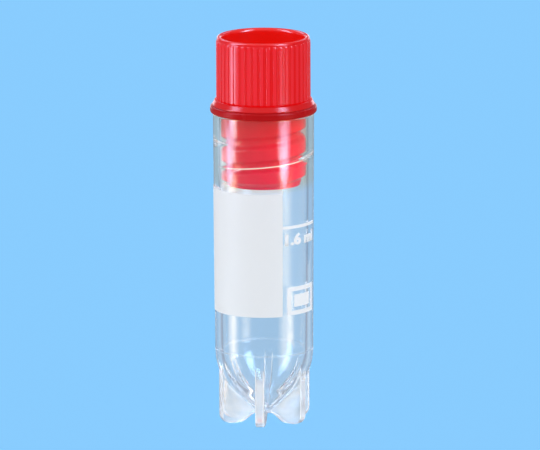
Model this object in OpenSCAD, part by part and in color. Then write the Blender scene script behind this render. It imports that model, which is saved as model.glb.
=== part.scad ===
// Self-standing cryovial for about 1.8 ml, with an internal-thread screw cap. Millimetres.
// Origin: centre of the plane that the six feet stand on. +Z runs up the axis, -Y is the front.
// Angles called "right of the front" are turned from -Y towards +X.

/* [Tube wall] */
// Height of the lip above the plane that the feet stand on
tube_h = 38.85; // [36:0.05:44]
// Outer radius at the lip
lip_r = 6.25; // [6.15:0.01:6.5]
// Outer radius where the wall meets the domed bottom
waist_r = 6.06; // [5.95:0.01:6.15]
// Height of the line where the wall meets the domed bottom
waist_z = 9.1; // [8.6:0.1:11]
// Thickness of the wall at the neck
neck_wall = 0.87; // [0.8:0.01:1]
// Thickness of the wall at the domed bottom
waist_wall = 0.95; // [0.85:0.01:1.2]
// Length of the straight bore that takes the cap's plug
neck_l = 10.2; // [9.6:0.1:11]
// Rounding of the lip's edges
lip_round = 0.2; // [0.1:0.01:0.3]

/* [Domed bottom] */
// Height of the bottom's lowest point above the plane that the feet stand on
nose_z = 1; // [0.7:0.05:1.3]
// Radius of the rounded nose outside
nose_r = 2.6; // [2.2:0.1:3]
// Angle between the dome's flank and the axis
dome_slope = 45; // [43:1:48]
// Thickness of the bottom on the axis
floor_t = 1; // [0.8:0.1:1.8]
// Radius of the hollow's rounded bottom
hollow_nose_r = 1.7; // [1.4:0.1:2.2]
// Angle between the hollow's conical flank and the axis
hollow_slope = 44; // [40:0.5:46]
// Radius that blends the hollow's flank into the bore
hollow_blend_r = 6.5; // [5:0.5:7]

/* [Star foot] */
// Number of fins under the dome
fin_count = 6; // [4:1:8]
// Thickness of a fin
fin_t = 1.1; // [0.8:0.05:1.4]
// How far a fin's outer edge lies inside the wall's waist
fin_inset = 0.13; // [0.05:0.01:0.4]
// Turn of the fins about the axis, right of the front
fin_turn = -6; // [-30:1:30]
// Radius of the hub where the fins meet
hub_r = 1.2; // [0.8:0.1:1.8]
// Radius at which a fin's lower edge reaches the resting plane
foot_in_r = 3.5; // [3:0.1:4]
// Rounding of a fin's outer lower corner
foot_round = 1.2; // [0.6:0.1:1.5]

/* [Thread] */
// Rise of the thread in one turn
pitch = 3; // [2.8:0.05:3.2]
// Depth of the tube's thread ridge
ridge_h = 0.62; // [0.5:0.01:0.7]
// Width of the ridge's crest
ridge_crest_w = 0.45; // [0.3:0.05:0.6]
// Width of the ridge at the bore
ridge_base_w = 1.2; // [1:0.05:1.3]
// Turns of ridge inside the neck
ridge_turns = 1.15; // [1:0.05:1.5]
// Turn of the ridge's lower end, right of the front
ridge_start = -75; // [-120:1:-30]
// Height of the ridge's lower end, counted down from the lip
ridge_drop = 6.57; // [6:0.01:7]
// Turn over which each end of the ridge rises out of the bore
ridge_run_out = 30; // [15:1:45]
// Radial clearance between the two threads
thread_gap = 0.13; // [0.1:0.01:0.18]
// Clearance between the ridge and each flank of the groove
flank_gap = 0.2; // [0.15:0.01:0.25]
// Extra half width of the groove's rounded mouth
groove_flare = 0.35; // [0.2:0.05:0.4]
// How far the plug's neck and plain end lie inside the groove's floor
groove_relief = 0.06; // [0.04:0.01:0.1]

/* [Gasket] */
// Thickness of the gasket
gasket_t = 0.95; // [0.7:0.05:1.3]
// Outer radius of the gasket
gasket_r = 6.6; // [6.5:0.01:6.9]
// Gap between the gasket and the plug's neck
gasket_gap = 0.13; // [0.08:0.01:0.2]
// Rounding of the gasket's outer edges
gasket_round = 0.3; // [0.15:0.01:0.35]

/* [Cap] */
// Height of the cap above the gasket
cap_h = 8.6; // [8:0.1:11]
// Radius of the flange that presses on the gasket
flange_r = 6.32; // [6.25:0.01:6.5]
// Height of the flange's upright edge
flange_edge = 0.15; // [0.1:0.05:0.4]
// Height of the bevel above the flange's edge
flange_bevel = 0.55; // [0.4:0.05:0.8]
// Radius of the shoulder above the bevel, where the ribs end
shoulder_r = 6.04; // [5.98:0.01:6.12]
// Height of the step from the shoulder to the grip
shoulder_t = 0.12; // [0.1:0.01:0.2]
// Radius of the grip between its ribs
grip_r = 5.74; // [5.7:0.01:5.8]
// Number of grip ribs
rib_count = 45; // [36:1:60]
// Turn of the first rib's middle, right of the front
rib_turn = -2; // [-4:0.5:4]
// Height of a rib above the grip
rib_h = 0.16; // [0.13:0.01:0.2]
// Share of the ribs' spacing that a rib's foot takes
rib_foot = 0.74; // [0.6:0.01:0.8]
// Share of the ribs' spacing that a rib's crest takes
rib_crest = 0.36; // [0.25:0.01:0.5]
// Height of the smooth rim above the ribs
rim_h = 0.42; // [0.4:0.01:0.8]
// Rounding of the rim's outer edge
rim_round = 0.38; // [0.2:0.01:0.4]
// Rounding of the rim's inner edge
mouth_round = 0.15; // [0.05:0.01:0.2]
// Radius of the seat for a colour-coding insert
seat_r = 5.1; // [5:0.01:5.2]
// Depth of the seat, from the rim
seat_depth = 2.2; // [1.5:0.1:3]
// Radius of the well below the seat
well_r = 4.75; // [4.6:0.01:4.9]
// Thickness of the web between the flange's face and the well
web_t = 1.25; // [1:0.05:1.6]
// Length of the plug below the flange
plug_l = 9.9; // [9.6:0.1:10]
// Wall of the plug between its hollow and the groove
plug_wall = 0.78; // [0.7:0.01:1]
// Thickness of the plug's floor
plug_floor = 0.9; // [0.7:0.1:1.2]
// Length of the plug's plain end below its chamfer
lead_l = 0.35; // [0.2:0.05:0.5]
// Length of the plug's lead-in chamfer
lead_chamfer = 0.5; // [0.3:0.05:0.7]
// How far the plug's neck reaches below the gasket
neck_drop = 0.3; // [0.2:0.05:0.6]

/* [Prints] */
// Thickness of the printed ink
print_t = 0.08; // [0.04:0.01:0.12]
// Clearance between the ink and the wall
print_gap = 0.02; // [0.02:0.01:0.05]
// Height of the write-on patch's lower edge
patch_low = 14.1; // [13:0.1:16]
// Height of the write-on patch
patch_h = 15.5; // [10:0.1:16]
// Right edge of the write-on patch, right of the front
patch_right = 22; // [10:1:40]
// Turn that the write-on patch covers
patch_span = 227; // [90:1:235]
// Height of the graduation line's middle
line_z = 25.3; // [20:0.1:28]
// Thickness of the graduation line
line_t = 0.38; // [0.3:0.01:0.6]
// Turn that the graduation line covers from the patch
line_span = 54.6; // [30:0.1:80]
// Height of the mark's lower edge
mark_low = 14.2; // [12:0.1:18]
// Height of the mark
mark_h = 3.55; // [3:0.05:4]
// Gap between the patch and the mark, as a turn
mark_gap = 6; // [3:1:12]
// Turn that the mark covers
mark_span = 46; // [40:1:50]
// Width of the mark's outline
mark_line = 0.55; // [0.3:0.05:0.7]
// Gap between the mark's outline and its centre field
mark_inset = 0.45; // [0.3:0.05:0.6]

/* [Hidden] */
$fn = 96;
front = -90;
arc_step = 5;
helix_steps = 36;
inside = 0.25;
beyond = 1;

// Radii and heights that follow from the sizes above
bore_r = lip_r - neck_wall;
low_bore_r = waist_r - waist_wall;
neck_end_z = tube_h - neck_l;
ridge_crest_r = bore_r - ridge_h;
ridge_slope = (ridge_base_w - ridge_crest_w) / 2 / ridge_h;
ridge_z = tube_h - ridge_drop - pitch * (front + ridge_start) / 360;
plug_r = bore_r - thread_gap;
groove_r = ridge_crest_r - thread_gap;
fin_r = waist_r - fin_inset;
flange_z = tube_h + gasket_t;
cap_top_z = flange_z + cap_h;
rib_top_z = cap_top_z - rim_h;
plug_low_z = flange_z - plug_l;
neck_z = tube_h - neck_drop;
neck_r = groove_r - groove_relief;
plug_hollow_r = groove_r - plug_wall;
well_z = flange_z + web_t;
shoulder_z = flange_z + flange_edge + flange_bevel;

function wall_r(z) = waist_r + (lip_r - waist_r) * (z - waist_z) / (tube_h - waist_z);
function ridge_half_w(r) = ridge_crest_w / 2 + (r - ridge_crest_r) * ridge_slope;

// Points along an arc about the centre c, from angle a to angle b
function arc(c, r, a, b) =
    let (n = max(2, ceil(abs(b - a) / arc_step)))
    [for (i = [0:n]) let (t = a + (b - a) * i / n) c + r * [cos(t), sin(t)]];

// Height at radius r on the flank of a rounded cone whose nose touches z
function flank_z(z, nose, slope, r) =
    z + nose * (1 - sin(slope)) + (r - nose * cos(slope)) / tan(slope);

// Outline of the closed outer form: rounded nose, conical flank, blend, tapered wall, lip
function outer_outline() =
    let (
        blend_l = waist_z - flank_z(nose_z, nose_r, dome_slope, waist_r),
        blend_r = blend_l / tan(dome_slope / 2)
    )
    concat(
        arc([0, nose_z + nose_r], nose_r, -90, -dome_slope),
        arc([waist_r - blend_r, waist_z], blend_r, -dome_slope, 0),
        arc([lip_r - lip_round, tube_h - lip_round], lip_round, 0, 90),
        [[0, tube_h]]
    );

// Outline of the hollow: rounded bottom, conical flank, blend, tapered bore, straight neck, lip
function hollow_outline() =
    let (
        floor_z = nose_z + floor_t,
        bore_slope = atan((bore_r - low_bore_r) / (neck_end_z - waist_z)),
        corner_z = flank_z(floor_z, hollow_nose_r, hollow_slope, low_bore_r),
        corner_r = low_bore_r + (corner_z - waist_z) * tan(bore_slope),
        blend_l = hollow_blend_r * tan((hollow_slope - bore_slope) / 2),
        flank_dir = [sin(hollow_slope), cos(hollow_slope)],
        inward = [-cos(hollow_slope), sin(hollow_slope)],
        corner = [corner_r, flank_z(floor_z, hollow_nose_r, hollow_slope, corner_r)],
        blend_c = corner - blend_l * flank_dir + hollow_blend_r * inward
    )
    concat(
        arc([0, floor_z + hollow_nose_r], hollow_nose_r, -90, -hollow_slope),
        arc(blend_c, hollow_blend_r, -hollow_slope, -bore_slope),
        [[bore_r, neck_end_z]],
        arc([bore_r + lip_round, tube_h - lip_round], lip_round, 180, 90),
        [[bore_r + lip_round, tube_h + beyond], [0, tube_h + beyond]]
    );

// Outline of one fin: hub, S-curve down to the foot, rounded corner, straight outer edge
function fin_outline() =
    concat(
        [[0, nose_z]],
        [for (i = [0:10])
            let (t = i / 10)
            [hub_r + (foot_in_r - hub_r) * t, nose_z * (1 + cos(180 * t)) / 2]],
        arc([fin_r - foot_round, foot_round], foot_round, -90, 0),
        [[fin_r, waist_z], [0, waist_z]]
    );

// A section swept along a right-hand helix, from angle a to angle b. section(t) is a list of
// [radius, height] points that run counter-clockwise, and height_z is the helix at angle 0.
module helix_sweep(sections, a, b, height_z) {
    steps = len(sections) - 1;
    m = len(sections[0]);
    points = [for (i = [0:steps])
        let (t = a + (b - a) * i / steps)
        for (p = sections[i])
            [p[0] * cos(t), p[0] * sin(t), height_z + pitch * t / 360 + p[1]]];
    sides = [for (i = [0:steps - 1], j = [0:m - 1])
        let (k = (j + 1) % m, low = i * m, high = low + m)
        each [[low + j, low + k, high + k], [low + j, high + k, high + j]]];
    first_cap = [for (j = [m - 1:-1:0]) j];
    last_cap = [for (j = [0:m - 1]) steps * m + j];
    polyhedron(points, concat(sides, [first_cap, last_cap]), convexity = 10);
}

// The tube's own thread: one ridge inside the neck, which sinks into the wall at both ends
module thread_ridge() {
    turn = 360 * ridge_turns;
    steps = round(helix_steps * ridge_turns);
    root_r = bore_r + inside;
    root_w = ridge_half_w(root_r);
    sections = [for (i = [0:steps])
        let (
            t = turn * i / steps,
            rise = min(1, t / ridge_run_out, (turn - t) / ridge_run_out),
            r = bore_r + inside / 2 - (ridge_h + inside / 2) * rise,
            w = ridge_crest_w / 2
        )
        [[root_r, -root_w], [root_r, root_w], [r, w], [r, -w]]];
    helix_sweep(sections, front + ridge_start, front + ridge_start + turn, ridge_z);
}

// The plug's thread groove, open at both ends of the plug
module thread_groove() {
    mid_r = ridge_crest_r + ridge_h / 2;
    mouth_r = plug_r + thread_gap;
    floor_w = ridge_half_w(groove_r) + flank_gap;
    mid_w = ridge_half_w(mid_r) + flank_gap;
    mouth_w = ridge_half_w(mouth_r) + flank_gap + groove_flare;
    section = [[mouth_r, -mouth_w], [mouth_r, mouth_w], [mid_r, mid_w],
               [groove_r, floor_w], [groove_r, -floor_w], [mid_r, -mid_w]];
    a = (plug_low_z - mouth_w - ridge_z) / pitch * 360;
    b = (neck_z + mouth_w - ridge_z) / pitch * 360;
    steps = ceil((b - a) / 360 * helix_steps);
    helix_sweep([for (i = [0:steps]) section], a, b, ridge_z);
}

module fins() {
    for (i = [0:fin_count - 1])
        rotate([0, 0, front + fin_turn + i * 360 / fin_count])
            rotate([90, 0, 0])
                translate([0, 0, -fin_t / 2])
                    linear_extrude(fin_t)
                        polygon(fin_outline());
}

module tube() {
    color([0.80, 0.86, 0.90, 0.45]) {
        difference() {
            union() {
                rotate_extrude() polygon(outer_outline());
                fins();
            }
            rotate_extrude() polygon(hollow_outline());
        }
        thread_ridge();
    }
}

// Ribs of the grip, cut to length and rounded off by a turned envelope
module grip_ribs() {
    spacing = 360 / rib_count;
    rib_r = grip_r + rib_h;
    root_r = grip_r - inside;
    foot = spacing * rib_foot / 2;
    crest = spacing * rib_crest / 2;
    outline = [for (i = [0:rib_count - 1])
        let (mid = front + rib_turn + i * spacing)
        each [root_r * [cos(mid - foot), sin(mid - foot)],
              rib_r * [cos(mid - crest), sin(mid - crest)],
              rib_r * [cos(mid + crest), sin(mid + crest)],
              root_r * [cos(mid + foot), sin(mid + foot)]]];
    low_z = flange_z + flange_edge;
    intersection() {
        translate([0, 0, low_z])
            linear_extrude(rib_top_z - low_z)
                polygon(outline);
        rotate_extrude()
            polygon(concat(
                [[root_r - inside, low_z], [rib_r + inside, low_z]],
                arc([grip_r - rib_h, rib_top_z - 2 * rib_h], 2 * rib_h, 0, 90),
                [[root_r - inside, rib_top_z]]
            ));
    }
}

// Plug with its threaded body; the neck above it stays plain for the gasket
module plug() {
    difference() {
        rotate_extrude()
            polygon([
                [0, plug_low_z],
                [neck_r, plug_low_z],
                [neck_r, plug_low_z + lead_l],
                [plug_r, plug_low_z + lead_l + lead_chamfer],
                [plug_r, neck_z],
                [0, neck_z]
            ]);
        thread_groove();
    }
    translate([0, 0, neck_z - inside])
        cylinder(r = neck_r, h = flange_z - neck_z + 2 * inside);
}

module cap() {
    color([0.86, 0.09, 0.10])
        difference() {
            union() {
                plug();
                rotate_extrude()
                    polygon(concat(
                        [[0, flange_z],
                         [flange_r, flange_z],
                         [flange_r, flange_z + flange_edge],
                         [shoulder_r, shoulder_z],
                         [grip_r, shoulder_z + shoulder_t]],
                        arc([grip_r - rim_round, cap_top_z - rim_round], rim_round, 0, 90),
                        [[0, cap_top_z]]
                    ));
                grip_ribs();
            }
            translate([0, 0, plug_low_z + plug_floor])
                cylinder(r = plug_hollow_r, h = plug_l + web_t);
            translate([0, 0, well_z])
                cylinder(r = well_r, h = cap_h);
            translate([0, 0, cap_top_z - seat_depth])
                cylinder(r = seat_r, h = seat_depth + beyond);
            rotate_extrude()
                polygon(concat(
                    arc([seat_r + mouth_round, cap_top_z - mouth_round], mouth_round, 180, 90),
                    [[seat_r + mouth_round, cap_top_z + beyond],
                     [seat_r - mouth_round, cap_top_z + beyond],
                     [seat_r - mouth_round, cap_top_z - mouth_round]]
                ));
        }
}

module gasket() {
    inner_r = neck_r + gasket_gap;
    round_r = gasket_r - gasket_round;
    color([0.55, 0.05, 0.07])
        rotate_extrude()
            polygon(concat(
                [[inner_r, tube_h]],
                arc([round_r, tube_h + gasket_round], gasket_round, -90, 0),
                arc([round_r, flange_z - gasket_round], gasket_round, 0, 90),
                [[inner_r, flange_z]]
            ));
}

// A field of ink on the tapered wall, from height low to high and over a turn right of the front
module ink(low, high, turn_from, turn_to, proud = 0) {
    rotate([0, 0, front + turn_from])
        rotate_extrude(angle = turn_to - turn_from)
            polygon([
                [wall_r(low) + print_gap - proud, low],
                [wall_r(low) + print_gap + print_t + proud, low],
                [wall_r(high) + print_gap + print_t + proud, high],
                [wall_r(high) + print_gap - proud, high]
            ]);
}

// Turn that an arc of the wall covers
function turn_of(arc_l) = arc_l / wall_r(mark_low) * 180 / PI;

module write_on_patch() {
    color([0.93, 0.94, 0.95])
        ink(patch_low, patch_low + patch_h, patch_right - patch_span, patch_right);
}

module graduation_line() {
    color([0.96, 0.97, 0.98])
        ink(line_z - line_t / 2, line_z + line_t / 2, patch_right, patch_right + line_span);
}

// A square outline with a plain square field in it
module mark_frame() {
    from = patch_right + mark_gap;
    to = from + mark_span;
    high = mark_low + mark_h;
    line_turn = turn_of(mark_line);
    field = mark_line + mark_inset;
    field_turn = turn_of(field);
    color([0.96, 0.97, 0.98]) {
        difference() {
            ink(mark_low, high, from, to);
            ink(mark_low + mark_line, high - mark_line, from + line_turn, to - line_turn, inside);
        }
        ink(mark_low + field, high - field, from + field_turn, to - field_turn);
    }
}

tube();
cap();
gasket();
write_on_patch();
graduation_line();
mark_frame();
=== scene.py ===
from contextlib import contextmanager
from math import ceil, cos, hypot, pi, radians, sin, tan

import bmesh
import bpy
import numpy as np
from mathutils import Matrix, Vector


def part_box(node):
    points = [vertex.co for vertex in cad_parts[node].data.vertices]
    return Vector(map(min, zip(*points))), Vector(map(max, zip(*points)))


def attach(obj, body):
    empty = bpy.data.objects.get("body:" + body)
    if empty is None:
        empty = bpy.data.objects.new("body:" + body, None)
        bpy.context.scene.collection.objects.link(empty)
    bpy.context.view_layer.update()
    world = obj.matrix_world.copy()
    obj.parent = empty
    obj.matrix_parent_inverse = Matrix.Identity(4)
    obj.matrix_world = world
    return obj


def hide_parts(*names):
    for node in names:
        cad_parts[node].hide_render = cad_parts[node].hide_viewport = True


# A slim clear self-standing cryovial with a red screw cap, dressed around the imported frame.
# Lengths are in millimetres until a mesh is made. Turns are degrees right of the front (-Y).
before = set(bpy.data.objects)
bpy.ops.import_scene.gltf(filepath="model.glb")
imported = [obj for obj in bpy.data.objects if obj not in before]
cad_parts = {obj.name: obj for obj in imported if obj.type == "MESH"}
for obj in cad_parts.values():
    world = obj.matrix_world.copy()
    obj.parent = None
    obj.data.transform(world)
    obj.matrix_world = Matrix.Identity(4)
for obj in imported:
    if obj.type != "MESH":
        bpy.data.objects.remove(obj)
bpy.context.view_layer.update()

MM = 0.001
FRONT = -90

# Heights and radii that come from the frame
tube_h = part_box("tube")[1].z / MM
gasket_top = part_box("gasket")[1].z / MM
gasket_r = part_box("gasket")[1].x / MM
cap_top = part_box("cap")[1].z / MM
plug_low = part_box("cap")[0].z / MM
patch_low, patch_high = (corner.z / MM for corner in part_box("write_on_patch"))
line_low, line_high = (corner.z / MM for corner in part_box("graduation_line"))
mark_low, mark_high = (corner.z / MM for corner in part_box("mark_frame"))

# Tube wall and hollow
lip_r, waist_r, waist_z = 6.25, 6.06, 9.1
neck_wall, waist_wall, neck_l = 0.87, 0.95, 10.2
lip_round = 0.2
nose_z, nose_r, dome_slope = 1.0, 2.6, 45
floor_t, hollow_nose_r, hollow_slope, hollow_blend_r = 1, 1.7, 44, 6.5
parting_bead, parting_half_w, parting_flat = 0.022, 0.07, 0.02
neck_shade_low = 30.5

# Star foot
fin_count, fin_t, fin_inset, fin_turn = 6, 1.1, 0.13, -6
hub_r, foot_in_r, foot_round, fin_edge_round = 1.2, 3.5, 1.2, 0.13
fin_top = waist_z - 0.6

# Thread. The cap's groove clears a ridge of ridge_crest_h, and ridge_h of it shows. A painted
# highlight, a pale line of crest_w, runs crest_rise above its crest.
pitch, ridge_crest_h, ridge_h, ridge_foot = 3, 0.62, 0.16, 0.8
ridge_turns, ridge_start, ridge_drop, ridge_run_out = 1.09, -75, 6.57, 40
thread_gap, groove_floor_w, groove_mouth_w = 0.13, 0.36, 1.8
groove_end, groove_run_out = 545, 36
neck_r, neck_drop = 4.57, 0.15
crest_w, crest_rise = 0.1, -0.06

# Cap
flange_r, flange_edge, flange_bevel, shoulder_r, shoulder_t = 6.32, 0.15, 0.55, 6.04, 0.12
grip_r, rib_count, rib_turn, rib_h, rib_foot, rib_crest = 5.74, 45, -2, 0.1, 0.66, 0.44
rib_end_round = 0.45
rim_h, rim_round, mouth_round = 0.42, 0.27, 0.42
seat_r, seat_depth, well_r, web_t = 5.1, 2.2, 4.75, 1.25
plug_hollow_r, plug_floor, lead_l, lead_chamfer = 3.85, 0.9, 0.35, 0.5

# Prints
patch_turn, patch_span, line_span = 22, 227, 54.6
mark_gap, mark_span, mark_line, mark_inset = 6, 46, 0.55, 0.45
ink_proud, ink_sunk = 0.05, 0.012
figure_turn, figure_w, figure_low, figure_h, figure_bold = 25.0, 5.25, 23.0, 1.5, 0.055

bore_r = lip_r - neck_wall
low_bore_r = waist_r - waist_wall
ridge_crest_r = bore_r - ridge_crest_h
plug_r = bore_r - thread_gap
groove_r = ridge_crest_r - thread_gap
fin_r = waist_r - fin_inset
rib_top = cap_top - rim_h
neck_z = tube_h - neck_drop
# Height of the thread's helix where its turn is 0
helix_z = tube_h - ridge_drop - pitch * ridge_start / 360


# ---- outlines --------------------------------------------

def arc(centre, radius, start, end, step=4):
    """Points (radius, height) along an arc, in degrees from the outward direction."""
    count = max(2, ceil(abs(end - start) / step))
    turns = [radians(start + (end - start) * i / count) for i in range(count + 1)]
    return [(centre[0] + radius * cos(t), centre[1] + radius * sin(t)) for t in turns]


def unit(v):
    return v / np.linalg.norm(v)


def filleted(corners, step=10, closed=False):
    """An outline through corners (r, z) or (r, z, fillet), with the fillets rounded."""
    points = []
    for i, corner in enumerate(corners):
        fillet = corner[2] if len(corner) > 2 else 0
        p = np.array(corner[:2], float)
        if not fillet or (not closed and i in (0, len(corners) - 1)):
            points.append(tuple(p))
            continue
        before = np.array(corners[i - 1][:2], float)
        after = np.array(corners[(i + 1) % len(corners)][:2], float)
        come, go = unit(p - before), unit(after - p)
        bend = np.arctan2(come[0] * go[1] - come[1] * go[0], come @ go)
        reach = fillet * tan(abs(bend) / 2)
        side = np.array([-come[1], come[0]]) * np.sign(bend)
        centre = p - come * reach + side * fillet
        spoke = -side * fillet
        count = max(1, ceil(abs(np.degrees(bend)) / step))
        for k in range(count + 1):
            a = bend * k / count
            points.append((centre[0] + spoke[0] * cos(a) - spoke[1] * sin(a),
                           centre[1] + spoke[0] * sin(a) + spoke[1] * cos(a)))
    return points


def wall_r(z):
    """Outer radius of the tapered wall."""
    return waist_r + (lip_r - waist_r) * (z - waist_z) / (tube_h - waist_z)


def flank_z(z, nose, slope, r):
    """Height at radius r on the flank of a rounded cone whose nose touches z."""
    s = radians(slope)
    return z + nose * (1 - sin(s)) + (r - nose * cos(s)) / tan(s)


def dome_blend_r():
    """Radius of the blend from the dome's flank to the wall."""
    blend_l = waist_z - flank_z(nose_z, nose_r, dome_slope, waist_r)
    return blend_l / tan(radians(dome_slope) / 2)


def outer_outline():
    """Rounded nose, conical flank, blend, parting bead, tapered wall and lip."""
    blend_r, bead = dome_blend_r(), parting_half_w
    return (
        arc((0, nose_z + nose_r), nose_r, -90, -dome_slope, 3)
        + arc((waist_r - blend_r, waist_z - bead), blend_r, -dome_slope, 0, 2)
        + [(waist_r + parting_bead, waist_z - parting_flat),
           (waist_r + parting_bead, waist_z + parting_flat),
           (wall_r(waist_z + bead), waist_z + bead)]
        + arc((lip_r - lip_round, tube_h - lip_round), lip_round, 0, 90, 9)
        + [(0, tube_h)]
    )


def hollow_outline():
    """Rounded bottom, conical flank, blend, tapered bore, straight neck and lip."""
    floor_z = nose_z + floor_t
    neck_end = tube_h - neck_l
    bore_turn = np.arctan((bore_r - low_bore_r) / (neck_end - waist_z))
    corner_z = flank_z(floor_z, hollow_nose_r, hollow_slope, low_bore_r)
    corner_r = low_bore_r + (corner_z - waist_z) * np.tan(bore_turn)
    slope = radians(hollow_slope)
    blend_l = hollow_blend_r * tan((slope - bore_turn) / 2)
    corner = np.array([corner_r, flank_z(floor_z, hollow_nose_r, hollow_slope, corner_r)])
    centre = (corner - blend_l * np.array([sin(slope), cos(slope)])
              + hollow_blend_r * np.array([-cos(slope), sin(slope)]))
    above = tube_h + 1
    return (
        arc((0, floor_z + hollow_nose_r), hollow_nose_r, -90, -hollow_slope, 3)
        + arc(centre, hollow_blend_r, -hollow_slope, -np.degrees(bore_turn), 1.5)
        + [(bore_r, neck_end)]
        + arc((bore_r + lip_round, tube_h - lip_round), lip_round, 180, 90, 9)
        + [(bore_r + lip_round, above), (0, above)]
    )


def fin_outline():
    """Hub, S-curve down to the foot, rounded corner and straight outer edge of one fin."""
    inner_r, steps = 0.05, 16
    curve = [(hub_r + (foot_in_r - hub_r) * i / steps, nose_z * (1 + cos(pi * i / steps)) / 2)
             for i in range(steps + 1)]
    corner = arc((fin_r - foot_round, foot_round), foot_round, -90, 0, 6)
    return [(inner_r, nose_z)] + curve + corner + [(fin_r, fin_top), (inner_r, fin_top)]


# ---- forms -----------------------------------------------

def linked(name, data):
    """A new object in the scene, at the origin."""
    form = bpy.data.objects.new(name, data)
    bpy.context.scene.collection.objects.link(form)
    return form


def placed(name, verts, faces):
    """A mesh object at the origin from points in millimetres, doubles merged, faces outwards."""
    mesh = bpy.data.meshes.new(name)
    mesh.from_pydata([tuple(c * MM for c in v) for v in verts], [], faces)
    tidied(mesh)
    return linked(name, mesh)


@contextmanager
def edited(mesh):
    """The mesh open for bmesh work, which is written back at the end."""
    work = bmesh.new()
    work.from_mesh(mesh)
    yield work
    work.to_mesh(mesh)
    work.free()
    mesh.update()


def tidied(mesh, merge=1e-7):
    """Merges doubles closer than the given length in metres, and turns the faces outwards."""
    with edited(mesh) as work:
        bmesh.ops.remove_doubles(work, verts=work.verts, dist=merge)
        bmesh.ops.dissolve_degenerate(work, edges=work.edges, dist=merge)
        bmesh.ops.recalc_face_normals(work, faces=work.faces)


def dressed(form, material):
    """The form in this one material."""
    form.data.materials.clear()
    form.data.materials.append(material)
    return form


def turned(name, outline, columns=256, closed=False):
    """A closed form turned about the axis from an outline of (radius, height) points."""
    if isinstance(columns, int):
        columns = [360 * i / columns for i in range(columns)]
    spokes = [(cos(radians(t)), sin(radians(t))) for t in columns]
    n = len(spokes)
    verts, rows, faces = [], [], []
    for r, z in outline:
        if r < 1e-6:
            rows.append([len(verts)] * n)
            verts.append((0, 0, z))
        else:
            rows.append(list(range(len(verts), len(verts) + n)))
            verts += [(r * c, r * s, z) for c, s in spokes]
    pairs = list(zip(rows, rows[1:])) + ([(rows[-1], rows[0])] if closed else [])
    for low, high in pairs:
        for j in range(n):
            k = (j + 1) % n
            ring = [low[j], low[k], high[k], high[j]]
            face = [v for i, v in enumerate(ring) if v != ring[i - 1]]
            if len(face) > 2:
                faces.append(face)
    return placed(name, verts, faces)


def shown_mesh(form):
    """A new mesh of the form as it shows, with its modifiers or its letters' outlines."""
    bpy.context.view_layer.update()
    graph = bpy.context.evaluated_depsgraph_get()
    return bpy.data.meshes.new_from_object(form.evaluated_get(graph), depsgraph=graph)


def settled(form):
    """Replaces the form's mesh by what its modifiers make of it, and removes them."""
    old, mesh = form.data, shown_mesh(form)
    form.modifiers.clear()
    form.data = mesh
    bpy.data.meshes.remove(old)
    return form


def combined(form, other, operation):
    """Joins the other form to this one, or cuts it away."""
    step = form.modifiers.new("combine", "BOOLEAN")
    step.operation, step.solver, step.object = operation, "MANIFOLD", other
    settled(form)
    bpy.data.objects.remove(other)
    return form


def all_of(items, key, width=1, kind=float):
    """One property of all of a mesh's items, as an array with a row for each."""
    values = np.empty(len(items) * width, kind)
    items.foreach_get(key, values)
    return values.reshape(-1, width) if width > 1 else values


def outline_steps(outlines, smooth_turn=14):
    """Starts, ends and end normals of all steps of the outlines, smooth over small turns."""
    start, end, normal_a, normal_b = [], [], [], []
    for outline in outlines:
        line = np.array(outline, float)
        long = np.linalg.norm(np.diff(line, axis=0), axis=1)
        line = line[np.concatenate([[True], long > 1e-6])]
        step = np.diff(line, axis=0)
        long = np.linalg.norm(step, axis=1)
        flat = np.column_stack([step[:, 1], -step[:, 0]]) / long[:, None]
        a, b = flat.copy(), flat.copy()
        for i in range(1, len(flat)):
            if flat[i - 1] @ flat[i] > cos(radians(smooth_turn)):
                b[i - 1] = a[i] = unit(flat[i - 1] * long[i - 1] + flat[i] * long[i])
        start.append(line[:-1])
        end.append(line[1:])
        normal_a.append(a)
        normal_b.append(b)
    return (np.concatenate(part) for part in (start, end, normal_a, normal_b))


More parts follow.
